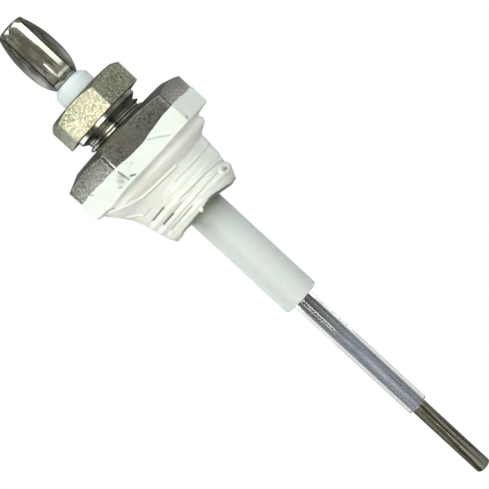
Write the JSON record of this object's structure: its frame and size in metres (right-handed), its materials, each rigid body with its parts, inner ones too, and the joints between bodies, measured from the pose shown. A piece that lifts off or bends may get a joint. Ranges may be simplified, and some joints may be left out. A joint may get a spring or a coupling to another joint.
{
  "type": "ignition electrode",
  "caption": "Straight insulated ignition electrode with a push-on spring terminal, held in a packed hexagon gland fitting with a taped taper thread.",
  "frame": {"origin": "on the electrode's axis, in the seat face of the large hexagon, where the threaded boss begins", "axes": "+Z along the electrode towards the lead terminal, -Z towards the spark tip, -Y towards the front"},
  "size_m": [0.0232, 0.0218, 0.0926],
  "materials": {
    "fitting_steel": "pickled stainless steel with a fine cast grain",
    "nickel_plate": "bright nickel plate with small dents and rub marks",
    "rod_steel": "drawn heat-resistant wire, streaked and dull",
    "ring_brass": "turned",
    "white_ptfe": "translucent greenish white, waxy",
    "clear_tube_plastic": "clear, glossy",
    "packing_ptfe": "moulded, matt",
    "tape_ptfe": "soft off-white sealing tape with creases"
  },
  "bodies": {
    "fitting": {"body_fitting": "fitting_steel", "thread_tape": "tape_ptfe", "gland_follower": "ring_brass", "packing_ring_upper": "packing_ptfe", "packing_ring_middle": "packing_ptfe", "packing_ring_lower": "packing_ptfe", "packing_seat_ring": "ring_brass"},
    "gland_washer": {"thrust_washer": "ring_brass"},
    "gland_nut": {"gland_nut": "fitting_steel"},
    "stem": {"insulator_sleeve": "white_ptfe", "clear_tube": "clear_tube_plastic", "electrode_rod": "rod_steel", "terminal_pin": "nickel_plate"},
    "terminal_spring": {"terminal_spring": "nickel_plate"}
  },
  "joints": [
    {"name": "gland_travel", "type": "slide", "parent": "fitting", "child": "gland_washer", "axis": [0, 0, 1], "range_m": [0, 0.004]},
    {"name": "gland_screw", "type": "hinge", "parent": "gland_washer", "child": "gland_nut", "pos_m": [0, 0, 0.011], "axis": [0, 0, 1], "range_deg": [0, 1440]},
    {"name": "stem_travel", "type": "slide", "parent": "fitting", "child": "stem", "axis": [0, 0, 1], "range_m": [-0.001, 0.015]},
    {"name": "terminal_turn", "type": "hinge", "parent": "stem", "child": "terminal_spring", "pos_m": [0, 0, 0.021], "axis": [0, 0, 1], "continuous": true}
  ],
  "couplings": [
    {"joint": "gland_travel", "follows": "gland_screw", "m_per_rad": 0.00015915}
  ]
}
